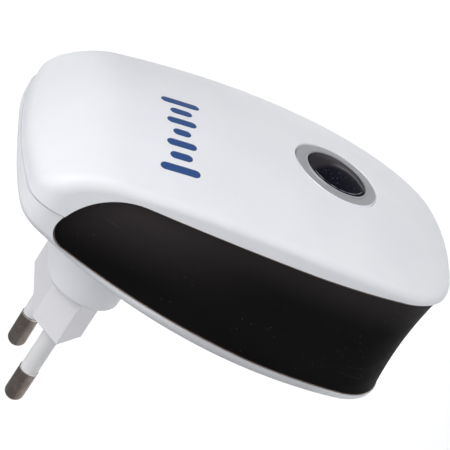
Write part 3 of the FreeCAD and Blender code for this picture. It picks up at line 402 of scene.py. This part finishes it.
for name, obj in nodes.items():
    for material_slot in obj.material_slots:
        material_slot.link = "OBJECT"
        material_slot.material = finishes[SLOT_OF[name]]


# --- printed mark on the front: bars like a sound level, in millimetres ----------------------------------
BAR_HEIGHTS = (7.4, 4.2, 5.6, 3.4, 5.6, 4.2, 7.4)
BAR_HALF_WIDTH = 0.95
BAR_PITCH = 3.55
FIRST_BAR_X = -17.6
BARS_Z = -0.9
BAR_ROWS, BAR_COLUMNS = 26, 6
BLUNT_END = 0.02
AHEAD_OF_FACE = -80.0
INK_LIFT = 0.02
INK_THICKNESS = 0.03


def surface_of(node):
    """Triangles of a CAD node, to cast rays on."""
    mesh = nodes[node].data
    mesh.calc_loop_triangles()
    triangles = [triangle.vertices for triangle in mesh.loop_triangles]
    return BVHTree.FromPolygons([vertex.co for vertex in mesh.vertices], triangles)


def mark_ink():
    s = Shader("blue pad-print ink")
    tone = s.spread(s.noise(1500.0, 3.0), 0.0, 1.0)
    s.colour(s.mix(tone, (0.014, 0.062, 0.215), (0.018, 0.075, 0.25)))
    s.roughness(s.spread(s.noise(900.0), 0.32, 0.45))
    s.bump(s.noise(3000.0), 0.002)
    return s.material


def bar_points(skin, middle_x, half_height):
    """Grid of points over one round-ended bar, row by row, laid on the crowned face."""
    points = []
    for row in range(BAR_ROWS + 1):
        z = -half_height * math.cos(math.pi * row / BAR_ROWS)
        into_end = max(0.0, abs(z) - (half_height - BAR_HALF_WIDTH))
        reach = math.sqrt(max(BAR_HALF_WIDTH ** 2 - into_end ** 2, BLUNT_END ** 2))
        for column in range(BAR_COLUMNS + 1):
            x = reach * (2 * column / BAR_COLUMNS - 1)
            start = Vector((middle_x + x, AHEAD_OF_FACE, BARS_Z + z)) * MM
            hit = skin.ray_cast(start, Vector((0, 1, 0)))[0]
            points.append((hit.x, hit.y - INK_LIFT * MM, hit.z))
    return points


def printed_mark():
    """Seven rounded bars of differing height, as a thin film of ink."""
    skin = surface_of("front_cover")
    verts, faces = [], []
    for i, height in enumerate(BAR_HEIGHTS):
        first = len(verts)
        verts += bar_points(skin, FIRST_BAR_X + BAR_PITCH * i, height / 2)
        for row in range(BAR_ROWS):
            for column in range(BAR_COLUMNS):
                corner = first + row * (BAR_COLUMNS + 1) + column
                above = corner + BAR_COLUMNS + 1
                faces.append((corner, corner + 1, above + 1, above))
    mesh = bpy.data.meshes.new("printed_mark")
    mesh.from_pydata(verts, [], faces)
    mesh.shade_smooth()
    obj = bpy.data.objects.new("printed_mark", mesh)
    bpy.context.scene.collection.objects.link(obj)
    film = obj.modifiers.new("film", "SOLIDIFY")
    film.thickness = INK_THICKNESS * MM
    film.offset = 0
    mesh.materials.append(mark_ink())
    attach(obj, "housing")


printed_mark()


# --- rolled edge of the dark band ---------------------------------------------------------------------
BEAD_RADIUS = 0.075 * MM
BEAD_LIFT = 0.3 * BEAD_RADIUS
BEAD_INSET_REAR = 0.14 * MM
BEAD_INSET_FRONT = 0.6 * MM
INSET_CHANGE_Y = -26.0 * MM
INSET_CHANGE_LENGTH = 8.0 * MM
SIDES_X = 20 * MM
LOWER_END_Z = -54 * MM
RIM_ANGLE = math.radians(50)
WELD = 0.002 * MM
SHORTEST_RUN = 12
CLOSING_GAP = 2 * MM


def outer_skin(edge):
    """The face of the band's outer skin that this edge borders, if there is one."""
    for face in edge.link_faces:
        middle = face.calc_center_median()
        side = abs(middle.x) > SIDES_X and face.normal.x * middle.x > 0.5 * abs(middle.x)
        if side or (middle.z < LOWER_END_Z and face.normal.z < -0.5):
            return face
    return None


def inward(edge, face):
    """Direction in the face, square to the edge, that leads away from the rim."""
    middle = (edge.verts[0].co + edge.verts[1].co) / 2
    along = (edge.verts[1].co - edge.verts[0].co).normalized()
    across = face.normal.cross(along)
    return across if across.dot(face.calc_center_median() - middle) > 0 else -across


def bead_inset(y):
    """The lip runs close to the rim along the rear cover and further in along the front cover's edge."""
    share = min(1.0, max(0.0, (INSET_CHANGE_Y - y) / INSET_CHANGE_LENGTH))
    return BEAD_INSET_REAR + (BEAD_INSET_FRONT - BEAD_INSET_REAR) * share


def rim_edges(skin):
    """Sharp edges round the band's outer skin, each with the face of the skin that it borders."""
    rim = {}
    for edge in skin.edges:
        face = outer_skin(edge) if len(edge.link_faces) == 2 else None
        if face and edge.calc_face_angle(0.0) > RIM_ANGLE:
            rim[edge] = face
    return rim


def runs_of(rim):
    """Vertices of each unbroken run of rim edges, in order."""
    left = set(rim)
    for first in rim:
        if first not in left:
            continue
        left.discard(first)
        path = list(first.verts)
        for end in range(2):
            while True:
                following = next((edge for edge in path[-1].link_edges if edge in left), None)
                if following is None:
                    break
                left.discard(following)
                path.append(following.other_vert(path[-1]))
            path.reverse()
        if len(path) >= SHORTEST_RUN:
            yield path


def lip_highlight_finish():
    s = Shader("band lip painted highlight")
    # The rolled lip is real, but its pale brown is a painted highlight: the band's rounded edge catching
    # light, on a band that is itself black.
    tone = s.spread(s.noise(800.0, 3.0), 0.0, 1.0)
    s.colour(s.mix(tone, (0.24, 0.165, 0.13), (0.13, 0.09, 0.075)))
    s.roughness(s.spread(s.noise(600.0), 0.35, 0.5))
    s.bump(s.noise(3000.0), 0.002)
    return s.material


def band_bead():
    """A fine rolled lip that runs just inside the whole rim of the band's outer skin."""
    skin = bmesh.new()
    skin.from_mesh(nodes["side_band"].data)
    bmesh.ops.remove_doubles(skin, verts=skin.verts, dist=WELD)
    curve = bpy.data.curves.new("band_bead", "CURVE")
    curve.dimensions, curve.bevel_depth, curve.bevel_resolution = "3D", BEAD_RADIUS, 3
    rim = rim_edges(skin)
    for path in runs_of(rim):
        spline = curve.splines.new("POLY")
        spline.points.add(len(path) - 1)
        for point, vert in zip(spline.points, path):
            edges = [edge for edge in vert.link_edges if edge in rim]
            shift = sum((inward(edge, rim[edge]) for edge in edges), Vector()).normalized()
            out = sum((rim[edge].normal for edge in edges), Vector()).normalized()
            point.co = (*(vert.co + shift * bead_inset(vert.co.y) + out * BEAD_LIFT), 1.0)
        spline.use_cyclic_u = (path[0].co - path[-1].co).length < CLOSING_GAP
    skin.free()
    curve.materials.append(lip_highlight_finish())
    obj = bpy.data.objects.new("band_bead", curve)
    bpy.context.scene.collection.objects.link(obj)
    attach(obj, "housing")


band_bead()


# --- studio, in metres --------------------------------------------------------------------------------
FLOOR_DROP = 0.30
FLOOR_SIZE = 14.0
FLOOR_MIDDLE = (2.0, 1.0, -FLOOR_DROP)
LIT_PLACE = Vector((0, -0.017, -0.018))
BACKDROP_PLACE = Vector((1.3, 0.66, -FLOOR_DROP))
BACKDROP_TURN = math.radians(27.6)
SKY_COLOUR = (0.95, 0.96, 1.0, 1.0)
SKY_STRENGTH = 0.32


def floor_material():
    s = Shader("studio floor")
    s.colour(s.mix(s.spread(s.noise(3.0, 2.0), 0.0, 1.0), (0.93, 0.93, 0.93), (0.91, 0.91, 0.91)))
    s.roughness(s.spread(s.noise(5.0), 0.8, 0.9))
    return s.material


def area_light(name, toward, distance, sides, power, aim=LIT_PLACE):
    """Rectangular soft light at a distance from a place in a given direction."""
    data = bpy.data.lights.new(name, "AREA")
    data.shape, data.energy = "RECTANGLE", power
    data.size, data.size_y = sides
    lamp = bpy.data.objects.new(name, data)
    bpy.context.scene.collection.objects.link(lamp)
    away = Vector(toward).normalized()
    lamp.location = aim + away * distance
    lamp.rotation_mode = "QUATERNION"
    lamp.rotation_quaternion = (-away).to_track_quat("-Z", "Y")
    lamp.visible_camera = False
    return lamp


bpy.ops.mesh.primitive_plane_add(size=FLOOR_SIZE, location=FLOOR_MIDDLE)
floor = bpy.context.object
floor.name = "studio_floor"
floor.data.materials.append(floor_material())
lights = [
    area_light("key", (-0.25, -0.86, 0.6), 1.0, (0.7, 0.7), 2.9),
    area_light("near", (-0.3, -0.62, 0.95), 0.55, (0.4, 0.4), 0.8),
    area_light("top", (-0.3, -0.3, 1.0), 1.0, (0.7, 0.7), 2.6),
    area_light("side", (-1.0, -0.35, 0.15), 1.0, (0.7, 0.7), 1.2),
    area_light("far", (0.6, -0.3, 0.9), 1.0, (0.7, 0.7), 0.45),
    area_light("backdrop", (0.0, 0.0, 1.0), 0.36, (2.2, 1.2), 8.4, aim=BACKDROP_PLACE),
]
backdrop = lights[-1]
backdrop.rotation_mode = "XYZ"
backdrop.rotation_euler = (0, 0, BACKDROP_TURN)

world = bpy.data.worlds.new("studio")
world.use_nodes = True
background = world.node_tree.nodes["Background"]
background.inputs["Color"].default_value = SKY_COLOUR
background.inputs["Strength"].default_value = SKY_STRENGTH
bpy.context.scene.world = world
bpy.context.scene.view_settings.view_transform = "Standard"


# --- camera: place in metres, sensor and lens in millimetres --------------------------------------------
CAMERA_PLACE = Vector((-0.29585, -0.18495, 0.09232))
CAMERA_RIGHT = Vector((-0.0640, -0.5031, -0.8618))
CAMERA_UP = Vector((0.5388, -0.7444, 0.3946))

camera_data = bpy.data.cameras.new("camera")
camera_data.sensor_width = 36.0
camera_data.lens = 148.12
camera_data.shift_x, camera_data.shift_y = 0.0023, -0.0036
camera_data.clip_start = 0.01
camera = bpy.data.objects.new("camera", camera_data)
bpy.context.scene.collection.objects.link(camera)
right = CAMERA_RIGHT.normalized()
up = (CAMERA_UP - CAMERA_UP.dot(right) * right).normalized()
axes = Matrix((right, up, right.cross(up))).transposed()
camera.matrix_world = Matrix.Translation(CAMERA_PLACE) @ axes.to_4x4()
bpy.context.scene.camera = camera
